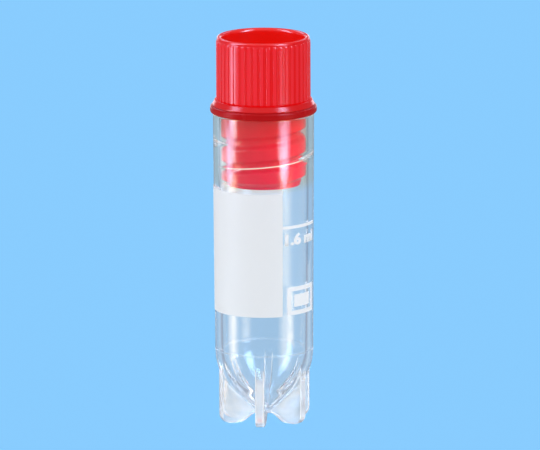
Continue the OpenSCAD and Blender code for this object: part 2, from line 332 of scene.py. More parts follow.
def rounded_normals(form, outlines, sharp=32, near_enough=0.004, faced_enough=0.9, batch=8000):
    """Smooth shading with sharp edges, and the exact normals of the turned surfaces.

    A face takes its nearest outline step's normals if all of it lies within near_enough
    millimetres of that step and it faces the same way.
    """
    mesh = form.data
    mesh.shade_smooth()
    mesh.set_sharp_from_angle(angle=radians(sharp))
    faces = len(mesh.polygons)
    normals = all_of(mesh.corner_normals, "vector", 3)
    co = all_of(mesh.vertices, "co", 3) / MM
    vertex = all_of(mesh.loops, "vertex_index", kind=int)
    total = all_of(mesh.polygons, "loop_total", kind=int)
    facing = all_of(mesh.polygons, "normal", 3)
    face = np.repeat(np.arange(faces), total)
    r, z = np.hypot(co[:, 0], co[:, 1]), co[:, 2]
    spoke = co[:, :2] / np.maximum(r, 1e-9)[:, None]
    p = np.column_stack([r, z])[vertex]
    middle = np.column_stack([np.bincount(face, p[:, 0]), np.bincount(face, p[:, 1])])
    middle /= total[:, None]
    out = np.column_stack([np.bincount(face, spoke[vertex, axis]) for axis in (0, 1)])
    out /= np.maximum(np.linalg.norm(out, axis=1), 1e-9)[:, None]
    start, end, normal_a, normal_b = outline_steps(outlines)
    along = end - start
    long2 = (along ** 2).sum(1)
    chosen, worst = np.empty(faces, int), np.empty(faces)
    for low in range(0, faces, batch):
        m = middle[low:low + batch, None]
        t = np.clip(((m - start) * along).sum(2) / long2, 0, 1)
        d = np.linalg.norm(m - start - t[..., None] * along, axis=2)
        chosen[low:low + batch] = d.argmin(1)
        worst[low:low + batch] = d.min(1)
    pick = chosen[face]
    t = ((p - start[pick]) * along[pick]).sum(1) / long2[pick]
    off = np.linalg.norm(p - start[pick] - t[:, None] * along[pick], axis=1)
    np.maximum.at(worst, face, off)
    t = np.clip(t, 0, 1)[:, None]
    flat = normal_a[pick] * (1 - t) + normal_b[pick] * t
    exact = np.column_stack([flat[:, :1] * spoke[vertex], flat[:, 1:]])
    plain = (normal_a + normal_b)[chosen] / 2
    faced = (plain[:, :1] * out * facing[:, :2]).sum(1) + plain[:, 1] * facing[:, 2]
    exact *= np.sign(faced)[face][:, None]
    good = ((worst < near_enough) & (np.abs(faced) > faced_enough))[face]
    normals[good] = exact[good]
    normals /= np.linalg.norm(normals, axis=1)[:, None]
    mesh.normals_split_custom_set(normals.tolist())
    return form


# ---- node trees ------------------------------------------

def add(tree, kind, inputs=(), **settings):
    """A node with its settings, and its inputs set or linked by name or number."""
    node = tree.nodes.new(kind)
    for key, value in settings.items():
        setattr(node, key, value)
    for key, value in dict(inputs).items():
        socket = node.inputs[key]
        if isinstance(value, bpy.types.NodeSocket):
            tree.links.new(value, socket)
        else:
            socket.default_value = value
    return node


def feed(node, key, value):
    node.id_data.links.new(value, node.inputs[key])


def maths(tree, operation, *values, clamp=False):
    return add(tree, "ShaderNodeMath", dict(enumerate(values)), operation=operation,
               use_clamp=clamp).outputs[0]


def product(tree, first, *others):
    for other in others:
        first = maths(tree, "MULTIPLY", first, other)
    return first


def remapped(tree, value, from_low, from_high, to_low=0.0, to_high=1.0, **settings):
    """The value carried from one range to another, held at its ends."""
    return add(tree, "ShaderNodeMapRange", {
        "Value": value, "From Min": from_low, "From Max": from_high, "To Min": to_low,
        "To Max": to_high}, **settings).outputs[0]


def axis_distance(tree, x, y):
    return maths(tree, "SQRT", maths(tree, "ADD", product(tree, x, x), product(tree, y, y)))


def past_whole(tree, value):
    """How far the value is from the nearest whole number, with its sign."""
    return maths(tree, "SUBTRACT", value, maths(tree, "ROUND", value))


def shape_tree(name, **sockets):
    """An empty Geometry Nodes tree with named inputs, and its input and output nodes."""
    tree = bpy.data.node_groups.new(name, "GeometryNodeTree")
    tree.is_modifier = True
    face = tree.interface
    face.new_socket("Geometry", in_out="INPUT", socket_type="NodeSocketGeometry")
    for label, kind in sockets.items():
        face.new_socket(label, in_out="INPUT", socket_type="NodeSocket" + kind)
    face.new_socket("Geometry", in_out="OUTPUT", socket_type="NodeSocketGeometry")
    return tree, tree.nodes.new("NodeGroupInput").outputs, tree.nodes.new("NodeGroupOutput")


def end_tree(tree, geometry, given, made):
    """Ends a shape tree with real geometry in the given material."""
    real = add(tree, "GeometryNodeRealizeInstances", {"Geometry": geometry})
    finish = add(tree, "GeometryNodeSetMaterial",
                 {"Geometry": real.outputs[0], "Material": given["material"]})
    feed(made, 0, finish.outputs[0])
    return tree


def run_tree(form, tree, **values):
    """Runs the tree on the form with these inputs, and keeps the plain mesh."""
    step = form.modifiers.new(tree.name, "NODES")
    step.node_group = tree
    for item in tree.interface.items_tree:
        if item.in_out == "INPUT" and item.name in values:
            step[item.identifier] = values[item.name]
    return settled(form)


def around_axis_tree():
    """Copies of the given shape around the axis."""
    tree, given, made = shape_tree("around_axis", count="Int", turn="Float",
                                   material="Material")
    one = add(tree, "GeometryNodeGeometryToInstance", {"Geometry": given["Geometry"]})
    copies = add(tree, "GeometryNodeDuplicateElements",
                 {"Geometry": one.outputs[0], "Amount": given["count"]}, domain="INSTANCE")
    share = maths(tree, "DIVIDE", copies.outputs["Duplicate Index"], given["count"])
    turn = maths(tree, "MULTIPLY_ADD", share, 2 * pi, given["turn"])
    angles = add(tree, "ShaderNodeCombineXYZ", {"Z": turn})
    spread = add(tree, "GeometryNodeRotateInstances",
                 {"Instances": copies.outputs[0], "Rotation": angles.outputs[0],
                  "Local Space": False})
    return end_tree(tree, spread.outputs[0], given, made)


def thread_tree():
    """A section swept along a right-hand helix, shrinking to nothing at both ends."""
    tree, given, made = shape_tree(
        "thread", section="Object", radius="Float", pitch="Float", turns="Float",
        start_turn="Float", start_height="Float", run_out="Float", material="Material")
    path = add(tree, "GeometryNodeCurveSpiral", {
        "Resolution": 144, "Rotations": given["turns"], "Start Radius": given["radius"],
        "End Radius": given["radius"], "Height": product(tree, given["pitch"], given["turns"]),
        "Reverse": True})
    lift = add(tree, "ShaderNodeCombineXYZ", {"Z": given["start_height"]})
    turn = add(tree, "ShaderNodeCombineXYZ", {"Z": given["start_turn"]})
    moved = add(tree, "GeometryNodeTransform", {
        "Geometry": path.outputs[0], "Translation": lift.outputs[0], "Rotation": turn.outputs[0]})
    level = add(tree, "GeometryNodeSetCurveNormal", {"Curve": moved.outputs[0]}, mode="Z_UP")
    share = add(tree, "GeometryNodeSplineParameter").outputs["Factor"]
    to_end = maths(tree, "MINIMUM", share, maths(tree, "SUBTRACT", 1.0, share))
    rise = maths(tree, "DIVIDE", product(tree, to_end, given["turns"]), given["run_out"])
    size = maths(tree, "MAXIMUM", maths(tree, "MINIMUM", rise, 1.0), 0.05)
    section = add(tree, "GeometryNodeObjectInfo", {"Object": given["section"]})
    sweep = add(tree, "GeometryNodeCurveToMesh", {
        "Curve": level.outputs[0], "Profile Curve": section.outputs["Geometry"], "Scale": size,
        "Fill Caps": True})
    return end_tree(tree, sweep.outputs[0], given, made)


def grip_ribs_tree():
    """Raises rounded upright ribs on a turned grip, where they stand proud of its wall."""
    tree, given, made = shape_tree(
        "grip_ribs", count="Int", turn="Float", grip_radius="Float", rib_height="Float",
        foot="Float", crest="Float", low="Float", high="Float", end_round="Float",
        material="Material")
    place = add(tree, "GeometryNodeInputPosition").outputs[0]
    x, y, z = add(tree, "ShaderNodeSeparateXYZ", {0: place}).outputs
    r = axis_distance(tree, x, y)
    turn = maths(tree, "SUBTRACT", maths(tree, "ARCTAN2", y, x), given["turn"])
    ribs = product(tree, maths(tree, "DIVIDE", turn, 2 * pi), given["count"])
    off = maths(tree, "ABSOLUTE", past_whole(tree, ribs))
    swell = remapped(tree, off, product(tree, given["crest"], 0.5),
                     product(tree, given["foot"], 0.5), 1.0, 0.0, interpolation_type="SMOOTHSTEP")
    over = maths(tree, "SUBTRACT", z, maths(tree, "SUBTRACT", given["high"], given["end_round"]))
    t = maths(tree, "DIVIDE", over, given["end_round"], clamp=True)
    end = maths(tree, "SQRT", maths(tree, "SUBTRACT", 1.0, product(tree, t, t)))
    rise = product(tree, swell, end, given["rib_height"])
    target = maths(tree, "MAXIMUM", r, maths(tree, "ADD", given["grip_radius"], rise))
    grow = maths(tree, "DIVIDE", target, r)
    wide = add(tree, "ShaderNodeCombineXYZ", {"X": grow, "Y": grow, "Z": 1.0}).outputs[0]
    stretched = add(tree, "ShaderNodeVectorMath", {0: place, 1: wide}, operation="MULTIPLY")
    on_wall = maths(tree, "GREATER_THAN", r, maths(tree, "SUBTRACT", given["grip_radius"], 1e-6))
    above = maths(tree, "GREATER_THAN", z, given["low"])
    below = maths(tree, "LESS_THAN", z, given["high"])
    where = product(tree, on_wall, above, below)
    raised = add(tree, "GeometryNodeSetPosition", {
        "Geometry": given["Geometry"], "Selection": where, "Position": stretched.outputs[0]})
    return end_tree(tree, raised.outputs[0], given, made)


# ---- finishes --------------------------------------------

WALL_TINT, NECK_TINT = (0.98, 0.987, 0.992, 1), (1.0, 0.88, 0.73, 1)
FOOT_TINT, SHADOW_TINT = (0.905, 0.892, 0.885, 1), (0.95, 0.96, 0.97, 1)
CAP_REDS = (0.75, 0.001, 0.002, 1), (0.80, 0.003, 0.005, 1)
PLUG_REDS = (0.73, 0.001, 0.004, 1), (0.75, 0.005, 0.055, 1)
# The crest red is painted sheen.
# The inside red is painted light, brighter for the light bouncing inside the cup.
CREST_SHEEN_RED, INSIDE_BOUNCE_RED = (0.84, 0.013, 0.022, 1), (0.90, 0.010, 0.006, 1)
# The flange red is painted shade.
FLANGE_SHADE_RED = (0.64, 0.007, 0.008, 1)
GASKET_REDS = (0.39, 0.002, 0.003, 1), (0.45, 0.003, 0.005, 1)
PATCH_WHITES = (0.835, 0.842, 0.868, 1), (0.86, 0.867, 0.888, 1)
PRINT_WHITES = (0.93, 0.945, 0.98, 1), (0.955, 0.965, 0.985, 1)
INK_GLOW = (0.9, 1, 1, 1)


def finish_base(name):
    finish = bpy.data.materials.new(name)
    finish.use_nodes = True
    tree = finish.node_tree
    return finish, tree, tree.nodes["Principled BSDF"], tree.nodes["Material Output"]


def texture_noise(tree, scale, detail=3.0, roughness=0.5, stretch=(1, 1, 1)):
    """Noise on Object coordinates. The scale is in waves a metre."""
    where = add(tree, "ShaderNodeTexCoord").outputs["Object"]
    sized = add(tree, "ShaderNodeMapping", {"Vector": where, "Scale": stretch}).outputs[0]
    return add(tree, "ShaderNodeTexNoise", {"Vector": sized, "Scale": scale, "Detail": detail,
                                            "Roughness": roughness}).outputs[0]


def tinted(tree, value, one, other):
    """A colour that goes from one to the other as the value goes from 0 to 1."""
    return add(tree, "ShaderNodeMix", {0: value, 6: one, 7: other}, data_type="RGBA").outputs[2]


def bumped(tree, shader, height, strength, distance):
    bump = add(tree, "ShaderNodeBump", {"Height": height, "Strength": strength,
                                        "Distance": distance})
    feed(shader, "Normal", bump.outputs[0])


def object_place(tree):
    """x, y, z and the distance from the axis in Object coordinates, in metres."""
    where = add(tree, "ShaderNodeTexCoord").outputs["Object"]
    x, y, z = add(tree, "ShaderNodeSeparateXYZ", {0: where}).outputs
    return x, y, z, axis_distance(tree, x, y)


def on_ridge_crest_highlight(tree):
    """1 on a thin painted highlight line along the crest of the tube's thread ridge, fading at the
    sides.
    """
    x, y, z, r = object_place(tree)
    turns = maths(tree, "DIVIDE", maths(tree, "ARCTAN2", x, product(tree, y, -1)), 2 * pi)
    climb = maths(tree, "SUBTRACT", z, (helix_z + crest_rise) * MM)
    off = maths(tree, "SUBTRACT", maths(tree, "DIVIDE", climb, pitch * MM), turns)
    off = maths(tree, "ABSOLUTE", past_whole(tree, off))
    near = remapped(tree, off, 0.5 * crest_w / pitch, 0.9 * crest_w / pitch, 1.0, 0.0)
    sideways = maths(tree, "DIVIDE", maths(tree, "ABSOLUTE", x), r)
    side = remapped(tree, sideways, 0.75, 0.97, 1.0, 0.25)
    low = maths(tree, "LESS_THAN", z, (tube_h - ridge_drop + 0.8 * pitch) * MM)
    proud = maths(tree, "LESS_THAN", r, (bore_r - 0.06) * MM)
    neck = maths(tree, "GREATER_THAN", z, (tube_h - neck_l) * MM)
    return product(tree, near, side, low, proud, neck)


def on_fins(tree):
    """Two masks: 1 on the star foot and 0 on the tube, and how hazy the foot is there."""
    x, y, z, r = object_place(tree)
    # The foot is what stands proud of the dome's blend
    blend_r = dome_blend_r()
    drop = maths(tree, "SUBTRACT", waist_z * MM, z)
    bow = maths(tree, "SUBTRACT", (blend_r * MM) ** 2, product(tree, drop, drop))
    bow = maths(tree, "SQRT", maths(tree, "MAXIMUM", 0.0, bow))
    proud = maths(tree, "SUBTRACT", r, maths(tree, "ADD", bow, (waist_r - blend_r) * MM))
    below = maths(tree, "LESS_THAN", z, (waist_z - 0.3) * MM)
    foot = product(tree, remapped(tree, proud, 0.02 * MM, 0.15 * MM), below)
    # Haze on the fins' outer edges, most on their corners, and at their low ends. The edges
    # are clearer where they meet the dome, and behind.
    turn = maths(tree, "SUBTRACT", maths(tree, "ARCTAN2", y, x), radians(FRONT + fin_turn))
    off = past_whole(tree, maths(tree, "DIVIDE", turn, 2 * pi / fin_count))
    angle = product(tree, maths(tree, "ABSOLUTE", off), 2 * pi / fin_count)
    across = product(tree, r, maths(tree, "SINE", angle))
    corner = maths(tree, "GREATER_THAN", across, (fin_t / 2 - fin_edge_round) * MM)
    outer = maths(tree, "GREATER_THAN", r, (fin_r - 0.1) * MM)
    front = remapped(tree, y, 0.0, -fin_r * MM, 0.25, 1.0)
    lower = remapped(tree, z, 7.7 * MM, 5.4 * MM)
    edge = product(tree, outer, maths(tree, "MULTIPLY_ADD", corner, 0.3, 0.4), front,
                   maths(tree, "MAXIMUM", lower, corner))
    low_end = remapped(tree, z, 2.4 * MM, 0.6 * MM, 0.0, 0.2)
    haze = maths(tree, "ADD", maths(tree, "MULTIPLY_ADD", low_end, front, edge), 0.03)
    return foot, product(tree, foot, haze)


def in_band(tree, z, low, high, soft):
    """1 between two heights in millimetres, fading to 0 over the soft length outside them."""
    middle, half = (low + high) / 2, (high - low) / 2
    off = maths(tree, "ABSOLUTE", maths(tree, "SUBTRACT", z, middle * MM))
    return remapped(tree, off, half * MM, (half + soft) * MM, 1.0, 0.0)


def clear_plastic():
    """Clear moulded polypropylene: slightly hazy, glossy, with the faint flow of the melt."""
    finish, tree, shader, out = finish_base("clear_polypropylene")
    z = object_place(tree)[2]
    neck = in_band(tree, z, neck_shade_low, tube_h + 1, 1.0)
    shade = tinted(tree, neck, WALL_TINT, NECK_TINT)
    shader.inputs["IOR"].default_value = 1.49
    flow = texture_noise(tree, 420, 2.0, 0.45, (1, 1, 0.35))
    foot, foot_haze = on_fins(tree)
    feed(shader, "Base Color", tinted(tree, foot, shade, FOOT_TINT))
    clearness = maths(tree, "SUBTRACT", 0.998, foot_haze)
    # Painted highlight: the ridge's crest line is made milky, standing in for the thin bright line
    # that light draws along it.
    clearness = maths(tree, "MULTIPLY_ADD", on_ridge_crest_highlight(tree), -0.8, clearness)
    bead = in_band(tree, z, waist_z - 0.03, waist_z + 0.03, 0.02)
    clearness = maths(tree, "MULTIPLY_ADD", bead, -0.2, clearness, clamp=True)
    feed(shader, "Transmission Weight", clearness)
    haze = maths(tree, "MULTIPLY_ADD", foot_haze, 0.3, remapped(tree, flow, 0, 1, 0.02, 0.06))
    feed(shader, "Roughness", haze)
    bumped(tree, shader, flow, 0.25, 0.00002)
    shadow = add(tree, "ShaderNodeLightPath").outputs["Is Shadow Ray"]
    clear = add(tree, "ShaderNodeBsdfTransparent", {"Color": SHADOW_TINT})
    mixed = add(tree, "ShaderNodeMixShader", {0: shadow, 1: shader.outputs[0], 2: clear.outputs[0]})
    feed(out, "Surface", mixed.outputs[0])
    return finish


def red_plastic():
    """Red moulded cap plastic: satin gloss with a fine even grain, with painted sheen on the rib
    crests, painted bounce light inside the cup and painted shade on the flange.
    """
    finish, tree, shader, _ = finish_base("red_cap_plastic")
    shade = tinted(tree, texture_noise(tree, 260, 2.0), *CAP_REDS)
    _, _, z, r = object_place(tree)
    # Painted sheen: the rib crests are a paler, pinker red that stands in for the gloss they catch,
    # while the valleys keep the plain red.
    crest = remapped(tree, r, (grip_r + 0.3 * rib_h) * MM, (grip_r + 0.8 * rib_h) * MM)
    on_grip = maths(tree, "GREATER_THAN", z, (gasket_top + 0.9) * MM)
    shade = tinted(tree, product(tree, crest, on_grip), shade, CREST_SHEEN_RED)
    # Painted light: the inside of the cup is a brighter red, standing in for the light that bounces
    # about in it.
    within = maths(tree, "LESS_THAN", r, (seat_r + 0.1) * MM)
    inside = product(tree, within, maths(tree, "GREATER_THAN", z, gasket_top * MM))
    shade = tinted(tree, inside, shade, INSIDE_BOUNCE_RED)
    # Painted shade: a band over the flange and its bevel is a darker red, as if less light fell on
    # it.
    flange = in_band(tree, z, gasket_top, gasket_top + 0.75, 0.02)
    shade = tinted(tree, flange, shade, FLANGE_SHADE_RED)
    down = remapped(tree, z, tube_h * MM, plug_low * MM)
    plug = maths(tree, "LESS_THAN", z, tube_h * MM)
    shade = tinted(tree, plug, shade, tinted(tree, down, *PLUG_REDS))
    feed(shader, "Base Color", shade)
    # Less gloss on the flange's bevel, and hardly any on the ledge above it
    bevel = in_band(tree, z, gasket_top + 0.12, gasket_top + 0.64, 0.02)
    ledge = in_band(tree, z, gasket_top + 0.66, gasket_top + 0.88, 0.02)
    gloss = maths(tree, "MULTIPLY_ADD", bevel, -0.2, 0.5)
    gloss = maths(tree, "MULTIPLY_ADD", ledge, -0.45, gloss)
    feed(shader, "Specular IOR Level", gloss)
    grain = texture_noise(tree, 7000, 3.0, 0.6)
    feed(shader, "Roughness", remapped(tree, grain, 0, 1, 0.14, 0.22))
    bumped(tree, shader, grain, 0.12, 0.00002)
    shader.inputs["IOR"].default_value = 1.47
    return finish


def red_silicone():
    """Dark red translucent gasket silicone."""
    finish, tree, shader, _ = finish_base("red_gasket_silicone")
    mottle = texture_noise(tree, 900, 3.0)
    feed(shader, "Base Color", tinted(tree, mottle, *GASKET_REDS))
    feed(shader, "Roughness", remapped(tree, mottle, 0, 1, 0.22, 0.30))
    bumped(tree, shader, mottle, 0.08, 0.00003)
    shader.inputs["IOR"].default_value = 1.25
    shader.inputs["Specular IOR Level"].default_value = 0.3
    return finish


def white_ink(name, one, other):
    """White screen-printed ink: satin, very slightly uneven between two shades."""
    finish, tree, shader, out = finish_base(name)
    cloud = texture_noise(tree, 180, 3.0)
    feed(shader, "Base Color", tinted(tree, cloud, one, other))
    tooth = texture_noise(tree, 9000, 2.0, 0.6)
    feed(shader, "Roughness", remapped(tree, tooth, 0, 1, 0.5, 0.62))
    bumped(tree, shader, tooth, 0.1, 0.00001)
    through = add(tree, "ShaderNodeBsdfTranslucent", {"Color": (1, 1, 1, 1)})
    both = add(tree, "ShaderNodeMixShader", {0: 0.3, 1: shader.outputs[0], 2: through.outputs[0]})
    # The inner face glows a little, for the light that is lost on its way through the wall
    _, _, z, r = object_place(tree)
    slope = (lip_r - waist_r) / (tube_h - waist_z)
    wall = maths(tree, "MULTIPLY_ADD", z, slope, wall_r(0) * MM)
    behind = maths(tree, "LESS_THAN", maths(tree, "SUBTRACT", r, wall), 0.0)
    glow = add(tree, "ShaderNodeEmission", {
        "Color": INK_GLOW, "Strength": product(tree, behind, 0.22)})
    lit = add(tree, "ShaderNodeAddShader", {0: both.outputs[0], 1: glow.outputs[0]})
    feed(out, "Surface", lit.outputs[0])
    return finish


CLEAR, RED, SILICONE = clear_plastic(), red_plastic(), red_silicone()
PATCH_INK = white_ink("write_on_ink", *PATCH_WHITES)
PRINT_INK = white_ink("gloss_print_ink", *PRINT_WHITES)
AROUND, THREAD, RIBS = around_axis_tree(), thread_tree(), grip_ribs_tree()


# ---- tube ------------------------------------------------

def section_curve(name, points):
    """A closed flat line for a sweep: x outwards from the helix, y up."""
    curve = bpy.data.curves.new(name, "CURVE")
    curve.dimensions = "3D"
    line = curve.splines.new("POLY")
    line.points.add(len(points) - 1)
    for point, (x, y) in zip(line.points, points):
        point.co = (x * MM, y * MM, 0, 1)
    line.use_cyclic_u = True
    return linked(name, curve)


def swept_thread(name, points, radius, turns, start, run_out, material):
    """A thread's ridge or groove: the section swept up the helix from a turn right of the front."""
    section = section_curve(name + "_section", points)
    form = placed(name, [(0, 0, 0), (0.001, 0, 0), (0, 0.001, 0)], [(0, 1, 2)])
    run_tree(form, THREAD, section=section, radius=radius * MM, pitch=pitch * MM, turns=turns,
             start_turn=radians(FRONT + start), start_height=(helix_z + pitch * start / 360) * MM,
             run_out=run_out / 360, material=material)
    bpy.data.objects.remove(section)
    tidied(form.data)
    return form


def one_fin():
    """One upright fin with rounded edges."""
    outline = fin_outline()
    n = len(outline)
    verts = [(r, side * fin_t / 2, z) for side in (-1, 1) for r, z in outline]
    faces = [list(range(n))[::-1], list(range(n, 2 * n))]
    faces += [(i, (i + 1) % n, n + (i + 1) % n, n + i) for i in range(n)]
    fin = placed("fin", verts, faces)
    with edited(fin.data) as work:
        edges = [e for e in work.edges
                 if abs(e.verts[0].co.y - e.verts[1].co.y) < 1e-9
                 and max(v.co.x for v in e.verts) > 1.0 * MM
                 and not all(v.co.z > (fin_top - 0.1) * MM for v in e.verts)]
        bmesh.ops.bevel(work, geom=edges, offset=fin_edge_round * MM, segments=4, profile=0.5,
                        affect="EDGES", clamp_overlap=True)
    return fin


def make_tube():
    """The turned tube with the star foot, the hollow and the thread's ridge."""
    outer, hollow = outer_outline(), hollow_outline()
    tube = turned("tube_clear", outer)
    fins = one_fin()
    run_tree(fins, AROUND, count=fin_count, turn=radians(FRONT + fin_turn), material=CLEAR)
    combined(tube, fins, "UNION")
    combined(tube, turned("hollow", hollow), "DIFFERENCE")
    steps = [ridge_foot * i / 16 for i in range(-16, 17)]
    ridge = [(-ridge_h * (1 - (hypot(y, 0.05) - 0.05) / ridge_foot) ** 1.8, y) for y in steps]
    ridge = [(0.25, -1.2 * ridge_foot)] + ridge + [(0.25, 1.2 * ridge_foot)]
    ridge = swept_thread("ridge", ridge, bore_r, ridge_turns, ridge_start, ridge_run_out, CLEAR)
    combined(tube, ridge, "UNION")
    tidied(tube.data, 2e-7)
    return rounded_normals(dressed(tube, CLEAR), [outer, hollow])


# ---- cap -------------------------------------------------

def make_cap():
    """The ribbed grip and flange on the threaded plug, hollow inside."""
    half_crest, half_foot = rib_crest / 2, rib_foot / 2
    flank = [half_crest + (half_foot - half_crest) * i / 4 for i in range(5)]
    rib_steps = [-0.5, -0.42] + [-s for s in reversed(flank)] + [0.0] + flank + [0.42]
    spacing = 360 / rib_count
    columns = [FRONT + rib_turn + (i + s) * spacing for i in range(rib_count) for s in rib_steps]
    shoulder_z = gasket_top + flange_edge + flange_bevel
    grip_low = shoulder_z + shoulder_t
    low = filleted([(0, gasket_top), (flange_r, gasket_top, 0.06),
                    (flange_r, gasket_top + flange_edge, 0.05), (shoulder_r, shoulder_z, 0.06),
                    (grip_r, grip_low, 0.05), (grip_r, grip_low + 0.1)], 15)
    grip = [(grip_r, grip_low + 0.5), (grip_r, rib_top - 0.8)]
    grip += [(grip_r, rib_top - 0.5 + 0.5 * i / 14) for i in range(14)]
    top = filleted([(grip_r, rib_top), (grip_r, cap_top, rim_round), (seat_r, cap_top, mouth_round),
                    (seat_r, cap_top - seat_depth, 0.1), (well_r, cap_top - seat_depth, 0.08),
                    (well_r, gasket_top + web_t, 0.35), (0, gasket_top + web_t)], 10)
    cap = turned("cap_red", low + grip + top, columns)
    run_tree(cap, RIBS, count=rib_count, turn=radians(FRONT + rib_turn), grip_radius=grip_r * MM,
             rib_height=rib_h * MM, foot=rib_foot, crest=rib_crest,
             low=(gasket_top + flange_edge) * MM, high=(rib_top + 0.001) * MM,
             end_round=rib_end_round * MM, material=RED)
    plug = filleted([(0, plug_low), (neck_r, plug_low, 0.15), (neck_r, plug_low + lead_l, 0.1),
                     (plug_r, plug_low + lead_l + lead_chamfer, 0.15), (plug_r, neck_z, 0.12),
                     (neck_r, neck_z, 0.05), (neck_r, gasket_top + 0.3), (0, gasket_top + 0.3)], 12)
    body = turned("plug", plug, 216)
    depth = plug_r - groove_r
    floor, mouth = groove_floor_w / 2, groove_mouth_w / 2
    steps = [mouth * 0.985 * i / 14 for i in range(-14, 15)]
    shape = [(-depth * (0.5 + 0.5 * cos(pi * min(1, max(0, abs(y) - floor) / (mouth - floor)))), y)
             for y in steps]
    shape = [(0.3, -mouth)] + shape + [(0.3, mouth)]
    low_turn = (plug_low - mouth - helix_z) / pitch * 360
    groove = swept_thread("groove", shape, plug_r, (groove_end - low_turn) / 360, low_turn,
                          groove_run_out, RED)
    combined(body, groove, "DIFFERENCE")
    combined(cap, body, "UNION")
    hollow = filleted([(0, plug_low + plug_floor), (plug_hollow_r, plug_low + plug_floor, 0.4),
                       (plug_hollow_r, gasket_top + web_t + 1), (0, gasket_top + web_t + 1)], 10)
    combined(cap, turned("stem_hollow", hollow, 216), "DIFFERENCE")
    tidied(cap.data, 2e-7)
    return rounded_normals(dressed(cap, RED), [low, top, plug, hollow])


def make_gasket():
    """The rounded flat ring between the lip and the flange."""
    inner_r = neck_r + 0.13
    ring = filleted([(inner_r, tube_h, 0.05), (gasket_r, tube_h, 0.3), (gasket_r, gasket_top, 0.3),
                     (inner_r, gasket_top, 0.05)], 9, closed=True)
    gasket = turned("gasket_ring", ring, 256, closed=True)
    return rounded_normals(dressed(gasket, SILICONE), [ring + ring[:1]])


# ---- prints ----------------------------------------------

def on_wall(turn, z, proud):
    """The point on the tapered wall at a turn right of the front, and a height."""
    a = radians(FRONT + turn)
    r = wall_r(z) + proud
    return (r * cos(a), r * sin(a), z)


def ink_field(name, low, high, start, end, corner=0.12, ink=PRINT_INK):
    """A thin field of ink on the wall with slightly rounded corners."""
    per_mm = 180 / pi / wall_r((low + high) / 2)
    width = (end - start) / per_mm
    columns = max(2, ceil((end - start) / 1.4))
    rounding = [corner * (1 - cos(pi / 2 * i / 4)) for i in range(1, 5)]
    xs = sorted({0, width, *rounding, *(width - x for x in rounding),
                 *(corner + (width - 2 * corner) * i / columns for i in range(1, columns))})

    def inset(x):
        near = min(x, width - x)
        if near >= corner:
            return 0
        return corner - (corner ** 2 - (corner - near) ** 2) ** 0.5

    verts, faces = [], []
    for x in xs:
        lift = inset(x) * 0.999
        for proud in (-ink_sunk, ink_proud):
            for z in (low + lift, high - lift):
                verts.append(on_wall(start + x * per_mm, z, proud))
    for i in range(len(xs) - 1):
        a, b = 4 * i, 4 * i + 4
        faces += [(a + 2, b + 2, b + 3, a + 3), (a, a + 1, b + 1, b),
                  (a, b, b + 2, a + 2), (a + 1, a + 3, b + 3, b + 1)]
    last = 4 * (len(xs) - 1)
    faces += [(0, 2, 3, 1), (last, last + 1, last + 3, last + 2)]
    return dressed(placed(name, verts, faces), ink)


def joined(name, forms):
    """One object from several."""
    mesh = bpy.data.meshes.new(name)
    with edited(mesh) as work:
        for form in forms:
            work.from_mesh(form.data)
            bpy.data.objects.remove(form)
    return dressed(linked(name, mesh), PRINT_INK)


def wrapped_text(name, words, start, width, low, height, bold, slices=60):
    """Flat letters, cut in upright slices and wrapped on the tapered wall as thin ink."""
    font = bpy.data.curves.new(name, "FONT")
    font.body, font.size, font.offset, font.resolution_u = words, 1, bold, 6
    flat = linked(name + "_flat", font)
    mesh = shown_mesh(flat)
    bpy.data.objects.remove(flat)
    with edited(mesh) as work:
        bmesh.ops.remove_doubles(work, verts=work.verts, dist=1e-5)
        xs = [v.co.x for v in work.verts]
        ys = [v.co.y for v in work.verts]
        x0, x1, y0, y1 = min(xs), max(xs), min(ys), max(ys)
        for i in range(1, slices):
            bmesh.ops.bisect_plane(work, geom=work.verts[:] + work.edges[:] + work.faces[:],
                                   plane_co=(x0 + (x1 - x0) * i / slices, 0, 0),
                                   plane_no=(1, 0, 0))
        if sum(f.calc_area() * f.normal.z for f in work.faces) < 0:
            bmesh.ops.reverse_faces(work, faces=work.faces[:])
        back = bmesh.ops.extrude_face_region(work, geom=work.faces[:])["geom"]
        back = {v for v in back if isinstance(v, bmesh.types.BMVert)}
        per_mm = 180 / pi / wall_r(low)
        for v in work.verts:
            turn = start + (v.co.x - x0) / (x1 - x0) * width * per_mm
            z = low + (v.co.y - y0) / (y1 - y0) * height
            v.co = Vector(on_wall(turn, z, ink_proud if v in back else -ink_sunk)) * MM
        bmesh.ops.remove_doubles(work, verts=work.verts, dist=1e-7)
        bmesh.ops.recalc_face_normals(work, faces=work.faces)
    return dressed(linked(name, mesh), PRINT_INK)


def make_mark():
    """A square outline with a plain square field in it."""
    start = patch_turn + mark_gap
    end = start + mark_span
    per_mm = 180 / pi / wall_r(mark_low)
    line, field = mark_line, mark_line + mark_inset
    return joined("mark_ink", [ink_field("bar", *sides) for sides in (
        (mark_low, mark_high, start, start + line * per_mm),
        (mark_low, mark_high, end - line * per_mm, end),
        (mark_low, mark_low + line, start, end),
        (mark_high - line, mark_high, start, end),
        (mark_low + field, mark_high - field, start + field * per_mm, end - field * per_mm))])


tube = make_tube()
cap = make_cap()
gasket = make_gasket()
patch = ink_field("write_on_field", patch_low, patch_high, patch_turn - patch_span, patch_turn,
                  ink=PATCH_INK)
line = ink_field("graduation_ink", line_low, line_high, patch_turn, patch_turn + line_span, 0.05)
mark = make_mark()
number = wrapped_text("volume_ink", "1.6 ml", figure_turn, figure_w, figure_low, figure_h,
                      figure_bold)

